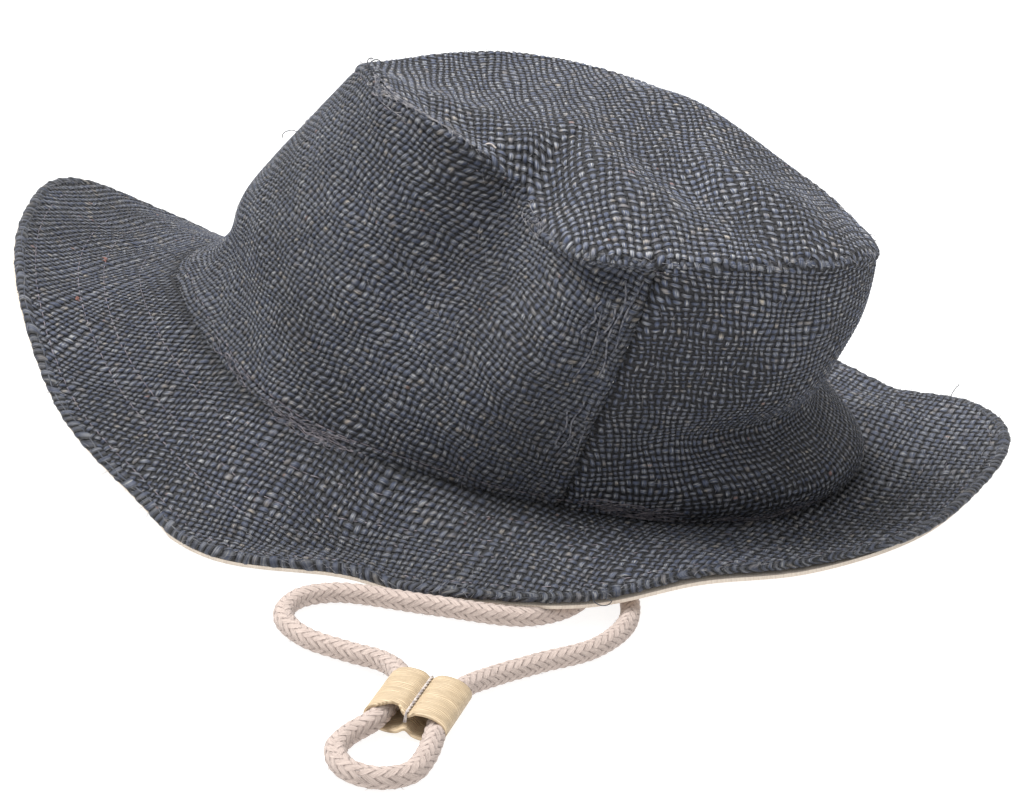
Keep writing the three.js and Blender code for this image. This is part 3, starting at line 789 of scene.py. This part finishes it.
# Cream cotton, with painted shade between its yarns.
def cottonFinish():
    finish = Finish("cream_cotton", Roughness=0.9, Sheen_Weight=0.2)
    yarn = weaveNodes(finish, facingPlan["weave"])
    tone = yarn["noise"](3.3, 0.3, 1)
    shade = finish.ramp(yarn["height"], 0.1, 0.7, 0.7, 1.0) * finish.ramp(tone, 0.3, 0.7, 0.85, 1.05)
    finish.give("Base Color", finish.tint(shade, (0.42, 0.32, 0.25, 1), (0.74, 0.65, 0.55, 1)))
    finish.bump(yarn["height"], 0.0001, 0.5)
    return finish


# The cotton facing under the brim: the brim's face moved down, closed all round.
def makeFacing():
    n, m = facingPlan["samples"]
    angle, share = np.meshgrid(np.radians(np.arange(n) * 360 / n), np.linspace(-0.04, 1.0, m), indexing="ij")
    fromBack = np.abs((np.degrees(angle) - facingPlan["tuckedAt"] + 180) % 360 - 180)
    share = share * (1 - facingPlan["tucked"] * (1 - smoothStep(fromBack, 14, 30)))
    top = brimSurface(angle, share)
    wrapped = np.concatenate([top[-1:], top, top[:1]])
    normal = gridNormals(wrapped)[1:-1]
    normal *= np.sign(normal[..., 2:])
    spread = np.degrees(angle) - facingPlan["droopAt"]
    droop = facingPlan["droop"] * np.exp(-(spread / facingPlan["droopWidth"]) ** 2) * np.clip(share, 0, 1) ** 8
    room = np.clip(top[..., 2] - brimStack - 0.3, 0, 1)
    depth = facingPlan["depth"] + (0.3 * np.clip(share, 0, 1) ** 8 + droop) * room
    upper = top - normal * depth[..., None]
    lower = upper - normal * facingPlan["thickness"]
    loop = np.concatenate([upper, lower[:, ::-1]], axis=1)
    rim = np.concatenate([np.arange(n) * 2 * m + k for k in (0, m - 1, m, 2 * m - 1)])
    uv = loop[..., :2] / facingPlan["pitch"]
    piece = makePiece("cotton_facing", loop, ringFaces(n, 2 * m), cottonFinish(), uv, rim)
    declareCloth(piece, "brim_facing")


makeFacing()
print("facing made")


# Threads and fibres: a thin tube along each of k paths of n points, sides round, closed at both ends.
# up is a direction for each path that it doesn't run along.
def makeStrands(name, paths, radius, sides, up, finish):
    k, n = paths.shape[:2]
    ahead = unit(np.gradient(paths, axis=1))
    side = unit(np.cross(ahead, np.broadcast_to(up, paths.shape)))
    lift = np.cross(side, ahead)
    points = ringsRound(paths, np.broadcast_to(radius, (k, n))[..., None], side, lift, sides)
    quads = gridFaces(n, sides, wrapColumns=True)
    starts = (np.arange(k) * n * sides)[:, None, None]
    quads = (quads[None] + starts).reshape(-1, 4)
    first = (np.arange(sides)[None, None, :] + starts).reshape(-1, sides)
    last = first[:, ::-1] + (n - 1) * sides
    piece = makePiece(name, points, quads.tolist() + first.tolist() + last.tolist(), finish)
    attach(piece, "root")
    return piece


# A place on a surface lifted off it along its normal, with that normal. side is 1 where the normal
# from the slopes round the hat and onward already points out of the cloth, and -1 where it points in.
def liftOff(surface, side, angle, along, lift):
    step = 0.004
    roundHat = surface(angle + step, along) - surface(angle - step, along)
    onward = surface(angle, along + step) - surface(angle, along - step)
    normal = np.cross(roundHat, onward)
    normal *= side / np.linalg.norm(normal, axis=-1, keepdims=True)
    return surface(angle, along) + normal * np.asarray(lift)[..., None], normal


# The surfaces that threads lie on, each with its side for liftOff. Along "up" they run up the wall.
surfaces = {"wall": (wallSurface, 1), "up": (wallSurface, 1), "brim": (brimSurface, -1),
            "tip": (tipSurface, -1)}


# Thread: two tones that come and go along it, with a fine grain.
def threadFinish(name, colour, darker):
    finish = Finish(name, Roughness=0.7)
    place = finish.node("ShaderNodeTexCoord", output="Object")
    tone = finish.noise(place, 700.0, 1)
    finish.give("Base Color", finish.tint(finish.ramp(tone, 0.35, 0.65), darker, colour))
    finish.bump(finish.noise(place, 4000.0), 0.0001, 0.4)
    return finish


# Finishes of threads and fibres: the colour of each, and the darker one that comes and goes in it.
threads = {
    "mauve_thread": ((0.27, 0.235, 0.26, 1), (0.13, 0.115, 0.14, 1)),
    "frayed_mauve_thread": ((0.19, 0.17, 0.185, 1), (0.07, 0.068, 0.085, 1)),
    "pale_thread": ((0.62, 0.56, 0.52, 1), (0.36, 0.32, 0.31, 1)),
    "grey_fibre": ((0.30, 0.29, 0.30, 1), (0.08, 0.085, 0.11, 1)),
    "loose_hemp_warp": ((0.17, 0.17, 0.19, 1), (0.035, 0.04, 0.058, 1)),
    "dark_thread": ((0.05, 0.055, 0.07, 1), (0.02, 0.022, 0.03, 1)),
    "rusty_fibre": ((0.30, 0.13, 0.10, 1), (0.14, 0.07, 0.06, 1))}
for name, colours in threads.items():
    threads[name] = threadFinish(name, *colours)

# Rows of stitches: surface, share across it, and the heights of a stitch's ends and its middle in mm.
# They lift most round the direction shownAt.
stitchPlan = {"stitch": 3.1, "gap": 0.45, "radius": 0.14, "points": 5, "samples": 2000, "shownAt": 198,
              "shownWidth": 34, "drift": 0.004, "driftLength": 13.0, "scatter": 0.0015, "rows": (
                  ("brim", 0.23, -0.1, 0.5), ("brim", 0.465, -0.1, 0.5), ("brim", 0.62, -0.1, 0.5),
                  ("brim", 0.895, -0.1, 0.5), ("wall", 0.957, -0.6, 0.25), ("wall", 0.035, -0.3, 0.4))}


# Paths and normals of several kinds of strands, put together.
def gather(parts):
    return (np.concatenate(arrays) for arrays in zip(*parts))


# Stitch rows: each stitch is a short bow that comes out of the cloth and goes in again, lift times
# 4 t (1 - t) above its sunk ends.
def makeStitches():
    plan = stitchPlan
    t = np.linspace(0, 1, plan["points"])[None, :]
    rng = np.random.default_rng(31)
    turns = np.radians(np.linspace(0, 360, plan["samples"]))
    rows = []
    for kind, share, low, high in plan["rows"]:
        surface, side = surfaces[kind]
        run = runAlong(surface(turns, np.full(plan["samples"], share)))
        begins = np.arange(0, run[-1] - plan["stitch"], plan["stitch"] + plan["gap"])[:, None]
        places = begins + plan["stitch"] * t
        angle = np.interp(places, run, turns)
        drift = plan["drift"] * np.sin(places / plan["driftLength"])
        drift = drift + rng.normal(0, plan["scatter"], begins.shape)
        shown = np.exp(-((np.degrees(angle) - plan["shownAt"]) / plan["shownWidth"]) ** 2)
        bow = (high - low) * (0.35 + 0.65 * shown) * 4 * t * (1 - t) * rng.uniform(0.5, 1.1, begins.shape)
        rows.append(liftOff(surface, side, angle, share + drift, low + bow))
    paths, up = gather(rows)
    makeStrands("seam_stitches", paths, plan["radius"], 3, up, threads["mauve_thread"])


makeStitches()

# Threads frayed along the seams: their finish, then for each place its surface, directions from and
# to, share from and to across the surface, how many, radius and lift in mm.
frays = {
    "seam_threads": ("frayed_mauve_thread", (
        ("wall", (206, 224), (0.0, 0.03), 8, 0.1, 0.5),
        ("brim", (224, 248), (0.0, 0.05), 16, 0.1, 0.35),
        ("wall", (222, 250), (0.0, 0.03), 12, 0.1, 0.4),
        ("wall", (286, 314), (0.015, 0.075), 24, 0.12, 0.4),
        ("wall", (314, 345), (0.0, 0.04), 10, 0.1, 0.3))),
    "seam_fibres": ("grey_fibre", (
        ("wall", (196, 216), (0.965, 1.0), 26, 0.1, 0.45),
        ("tip", (196, 232), (0.93, 1.0), 30, 0.1, 0.35),
        ("wall", (246, 262), (0.95, 1.0), 12, 0.1, 0.35))),
    "rusty_tufts": ("rusty_fibre", (
        ("brim", (181.6, 183.2), (0.46, 0.49), 7, 0.14, 0.4),
        ("brim", (194.3, 195.6), (0.635, 0.665), 5, 0.14, 0.4))),
    "loose_warps": ("loose_hemp_warp", (
        ("up", (277.0, 285.0), (0.52, 0.95), 5, 0.3, 0.35),
        ("up", (280.0, 286.0), (0.10, 0.55), 4, 0.3, 0.35)))}


# Frayed threads lie along a seam from one direction to another, sway across it in slow waves, and rise
# from the cloth, lift times (0.35 + 0.65 sin(pi t)), with both ends sunk. Loose warps run up the wall.
def makeFrays():
    rng = np.random.default_rng(53)
    t = np.linspace(0, 1, 14)[None, :]

    def some(low, high):
        return rng.uniform(low, high, (count, 1))

    for name, (finish, rows) in frays.items():
        parts = []
        for kind, (fromDir, toDir), (low, high), count, radius, lift in rows:
            place, width = some(0, 1), some(0.25, 0.6)
            sway = 0.3 * np.sin(2 * np.pi * (t * some(0.6, 2.0) + some(0, 1)))
            if kind == "up":
                place = (np.arange(count)[:, None] + 0.5) / count
                turned = place + 0.25 * sway + some(-0.12, 0.22) * (t - 0.5)
                begin, reached = some(0, 0.45), some(0.7, 1.0)
                along = begin + t * (reached - begin)
            else:
                turned = place * (1 - width) + t * width
                along = np.clip(some(0, 1) + sway, 0, 1)
            angle = np.radians(fromDir + (toDir - fromDir) * turned)
            bow = lift * (0.35 + 0.65 * np.sin(np.pi * t)) * some(0.5, 1.2)
            ends = 1.2 * (np.clip(0.08 - t, 0, 1) + np.clip(t - 0.92, 0, 1)) / 0.08
            path, normal = liftOff(*surfaces[kind], angle, low + (high - low) * along, bow - ends)
            parts.append((path, normal, np.full((count, t.size), radius)))
        paths, up, thick = gather(parts)
        makeStrands(name, paths, thick, 5, up, threads[finish])


makeFrays()


# Ends of thread: surface, direction and share where each starts, and its points from there in mm. The
# last one is white.
threadEnds = (
    ("brim", 286.0, 1.0, ((0, 0.5, -0.6), (1.2, -1.2, -1.4), (3.2, -1.7, -1.7), (4.8, -1.3, -1.3),
                          (5.3, 0.1, -0.9), (3.6, 0.6, -0.8))),
    ("tip", 200.0, 1.0, ((0, 0, -0.4), (-0.8, -0.4, 0.9), (-1.8, 0, 2.0), (-2.0, 0.2, 3.4), (-1.2, 0, 4.2),
                         (-0.4, 0.1, 4.0))),
    ("tip", 197.0, 1.0, ((0, 0, -0.4), (-0.2, -0.4, 1.1), (0.6, 0, 2.1), (1.6, 0.2, 2.6), (2.6, 0, 2.4),
                         (3.2, 0.1, 1.8))),
    ("wall", 182.0, 0.68, ((0.4, 0, -0.1), (-1.5, 0, 0.6), (-3.0, 0, 0.2), (-4.2, 0, -0.6), (-4.6, 0.2, -1.5),
                           (-4.3, 0, -2.2))),
    ("brim", 19.0, 0.99, ((0, 0, 0.2), (0.2, 0, 1.6), (0.7, 0, 2.8), (1.2, 0.2, 3.8), (1.6, 0, 4.4),
                          (1.9, 0.1, 5.0))),
    ("tip", 225.0, 0.77, ((-1.8, 0, -0.2), (-0.6, 0.1, 0.7), (0.6, -0.2, 0.8), (2.0, -0.6, -0.1))))


def makeEnds():
    def curl(count, kind, direction, share, offsets):
        start = surfaces[kind][0](np.radians(np.array(direction)), np.array(share))
        return smoothPath(start + np.array(offsets), count)[0]

    dark = np.array([curl(24, *end) for end in threadEnds[:-1]])
    makeStrands("thread_ends", dark, 0.14, 5, (0.1, 1.0, 0.2), threads["dark_thread"])
    white = curl(12, *threadEnds[-1])[None]
    makeStrands("white_thread", white, 0.28, 6, (0, 0, 1.0), threads["pale_thread"])


makeEnds()

# Loose fibres, sizes in mm. areas: surface, number of fibres, and the shares of it that they grow between.
fuzzPlan = {"radius": (0.05, 0.09), "length": (1.6, 5.5), "lift": (0.3, 1.3),
            "areas": (("brim", 420, 0.02, 0.99), ("wall", 620, 0.05, 0.97), ("tip", 320, 0.1, 0.97),
                      ("brim", 420, 0.97, 1.0), ("tip", 260, 0.97, 1.0))}


# Each fibre starts in the cloth, runs along it and bows up, length t along, lift times
# 2.2 t (1 - 0.7 t) up, and bends sideways with t squared.
def makeFuzz():
    rng = np.random.default_rng(47)
    t = np.linspace(0, 1, 4)[None, :, None]

    def grown(surface, side, count, low, high):
        angle, along = rng.uniform(0, 2 * np.pi, count), rng.uniform(low, high, count)
        root, normal = liftOff(surface, side, angle, along, np.full(count, -0.1))
        lean = rng.normal(size=(count, 3))
        lean = unit(lean - normal * np.sum(lean * normal, axis=1, keepdims=True))
        bend = np.cross(normal, lean) * rng.normal(0, 0.35, count)[:, None]
        length, lift = rng.uniform(*fuzzPlan["length"], count), rng.uniform(*fuzzPlan["lift"], count)
        path = (root[:, None] + length[:, None, None] * (lean[:, None] * t + bend[:, None] * t ** 2)
                + normal[:, None] * (lift[:, None, None] * 2.2 * t * (1 - 0.7 * t)))
        return path, normal

    parts = [grown(*surfaces[kind], *rest) for kind, *rest in fuzzPlan["areas"]]
    paths, up = gather(parts)
    radius = rng.uniform(*fuzzPlan["radius"], len(paths))[:, None] * np.array([1, 0.9, 0.7, 0.3])[None, :]
    makeStrands("loose_fibres", paths, radius, 3, up[:, None, :], threads["grey_fibre"])


makeFuzz()


# Short cotton hairs standing off the cord: each leaves the cord's side and curls along it.
def makeCordFuzz():
    rng = np.random.default_rng(61)
    at = rng.integers(20, chinCord["rings"] - 20, chinCord["hairs"])
    path = cordPath / metre
    ahead, side, lift = (direction[at][:, None, :] for direction in pathFrames(path))

    def some(low, high):
        return rng.uniform(low, high, len(at))[:, None, None]

    turn = some(0, 2 * np.pi)
    out = np.cos(turn) * side + np.sin(turn) * lift
    lean = ahead * some(-1, 1) + np.cross(out, ahead) * some(-0.5, 0.5)
    t = np.linspace(0, 1, 4)[None, :, None]
    lift = chinCord["hairRoot"] + some(0.25, 0.8) * np.sin(0.55 * np.pi * t)
    hairs = path[at][:, None, :] + out * lift + lean * chinCord["hairRun"] * t
    hairs[..., 2] = np.maximum(hairs[..., 2], 0.1)
    thin = np.array([[0.06, 0.055, 0.045, 0.02]])
    piece = makeStrands("cord_hairs", hairs, thin, 3, ahead + 0.01, threads["pale_thread"])


makeCordFuzz()
print("threads and fibres made")

slider = {"length": 19.0, "lobe": 4.1, "halfWidth": 10.5, "waist": 2.2, "crease": 1.3, "wall": 0.9,
          "heading": 79, "centre": (-1.2, -181.8, 4.5), "samples": (180, 48), "wound": 0.55, "pulledBack": 2.4}


# Fine straw thread wound round the band: painted shade in the lines between turns, 2 pi along / wound, and
# fibres.
def strawFinish():
    finish = Finish("straw_wrap", Roughness=0.55)
    roundBand, along = finish.weavePlace()[1:]
    drift = finish.noise(finish.join(roundBand * 0.09, along * 0.3), detail=1) * 2.2
    turns = ((along + drift) * (2 * math.pi / slider["wound"])).sine()
    fibre = finish.noise(finish.join(roundBand * 0.35, along * 2.4), detail=2)
    broad = finish.noise(finish.join(roundBand * 0.15, along * 0.5), detail=1)
    shade = finish.ramp(turns, -1.0, 0.2, 0.25, 1.0) * finish.ramp(fibre, 0.3, 0.7, 0.7, 1.05)
    shade = shade * finish.ramp(broad, 0.3, 0.7, 0.93, 1.03)
    finish.give("Base Color", finish.tint(shade, (0.36, 0.25, 0.145, 1), (0.70, 0.555, 0.37, 1)))
    finish.bump(turns * 0.5 + fibre, 0.00016, 0.9)
    return finish


# The slider: a flat band with a crease along its middle. Its outline has height
# lobe sqrt(1 - |x / half|^3), less a crease down to the waist, (lobe - waist) times
# (0.6 exp(-q) + 0.4 exp(-q / 9)), where q is (x / crease)^2. The band is that outline times a thin
# oblong, whose lower end is pulled back on the left side's top.
def makeSlider():
    n, m = slider["samples"]
    t = 2 * np.pi * np.arange(n) / n
    half = slider["halfWidth"]
    x = half * np.cos(t)
    lobe = slider["lobe"] * np.sqrt(np.clip(1 - np.abs(x / half) ** 3, 0, 1))
    inCrease = -(x / slider["crease"]) ** 2
    lobe -= (slider["lobe"] - slider["waist"]) * (0.6 * np.exp(inCrease) + 0.4 * np.exp(inCrease / 9))
    z = np.where(np.sin(t) >= 0, 1, -1) * lobe
    outline = np.stack([x, z], axis=1)
    roundBand = np.roll(outline, -1, axis=0) - np.roll(outline, 1, axis=0)
    outward = unit(np.stack([roundBand[:, 1], -roundBand[:, 0]], axis=1))
    reach, wall = slider["length"] / 2, slider["wall"]
    rows = m // 2 - 2
    onward = np.linspace(-reach, reach, rows)
    lengths = np.concatenate([onward, [reach + 0.2, reach], onward[::-1], [-reach - 0.2, -reach]])
    depths = np.concatenate([np.zeros(rows), [-wall / 2, -wall], np.full(rows, -wall), [-wall / 2, 0]])
    pull = slider["pulledBack"] * np.exp(-((x + 3.5) / 2.8) ** 2) * (z > 0) * (1 - np.exp(-(z / 1.2) ** 2))
    lengths = lengths[None, :] + pull[:, None] * np.clip(0.5 - lengths / slider["length"], 0, 1) ** 2
    section = outline[:, None, :] + outward[:, None, :] * depths[None, :, None]
    h = math.radians(slider["heading"])
    ahead, side = np.array([math.cos(h), math.sin(h), 0]), np.array([math.sin(h), -math.cos(h), 0])
    up, centre = np.array([0, 0, 1.0]), np.array(slider["centre"])
    points = centre + section[..., :1] * side + section[..., 1:] * up + lengths[..., None] * ahead
    uv = np.stack(np.broadcast_arrays(runAlong(outline)[:, None], lengths), axis=-1)
    piece = makePiece("slider_wrap", points, ringFaces(n, len(depths)), strawFinish(), uv)
    declare(piece, "cord_slider")
    # two white threads twisted along the waist, over the top and tied off at the lower end
    s = np.linspace(0, 1, 60)
    place = 0.25 + (reach + 0.5) * (1 - 2 * s)
    rise = slider["waist"] + 0.35 - 2.2 * np.clip(np.abs(2 * s - 1) - 0.93, 0, 1) / 0.07
    twist = 2 * np.pi * s * 7
    twisted = []
    for phase in (0, np.pi):
        across, over = 0.2 * np.cos(twist + phase), 0.2 * np.sin(twist + phase)
        path = centre + across[:, None] * side + place[:, None] * ahead + (rise + over)[:, None] * up
        twisted.append(path)
    tie = makeStrands("slider_tie", np.array(twisted), 0.25, 6, side, threads["pale_thread"])
    return piece


sliderPiece = makeSlider()
print("slider made")


studio = {"floorHalf": 2000.0, "floorGlow": 0.82, "sky": 0.78, "lampAt": (-0.45, 0.0, 1.2),
          "lampAimsAt": (0, 0, 0.05), "lampSize": 0.7, "lampPower": 22}


# A pale floor, a white sky and one large soft lamp from above the left.
def lightScene():
    finish = Finish("studio_floor", Roughness=0.9, Base_Color=(0.35, 0.35, 0.35, 1),
                    Emission_Color=(1, 1, 1, 1), Emission_Strength=studio["floorGlow"])
    half = studio["floorHalf"]
    corners = np.array([[-half, -half, 0], [half, -half, 0], [half, half, 0], [-half, half, 0]]) - [0, 0, 0.05]
    makePiece("studio_floor", corners, [[0, 1, 2, 3]], finish)
    world = bpy.data.worlds.new("soft_sky")
    world.use_nodes = True
    sky = world.node_tree.nodes["Background"].inputs
    sky["Color"].default_value, sky["Strength"].default_value = (1, 1, 1, 1), studio["sky"]
    scene.world = world
    lamp = bpy.data.lights.new("soft_lamp", "AREA")
    lamp.shape, lamp.size, lamp.energy = "DISK", studio["lampSize"], studio["lampPower"]
    lampObject = putIn("soft_lamp", lamp)
    lampObject.location = studio["lampAt"]
    direction = np.array(studio["lampAimsAt"]) - np.array(studio["lampAt"])
    lampObject.rotation_euler = (math.acos(-direction[2] / np.linalg.norm(direction)), 0,
                                 math.atan2(direction[1], direction[0]) - math.pi / 2)


lightScene()
print("lights placed")
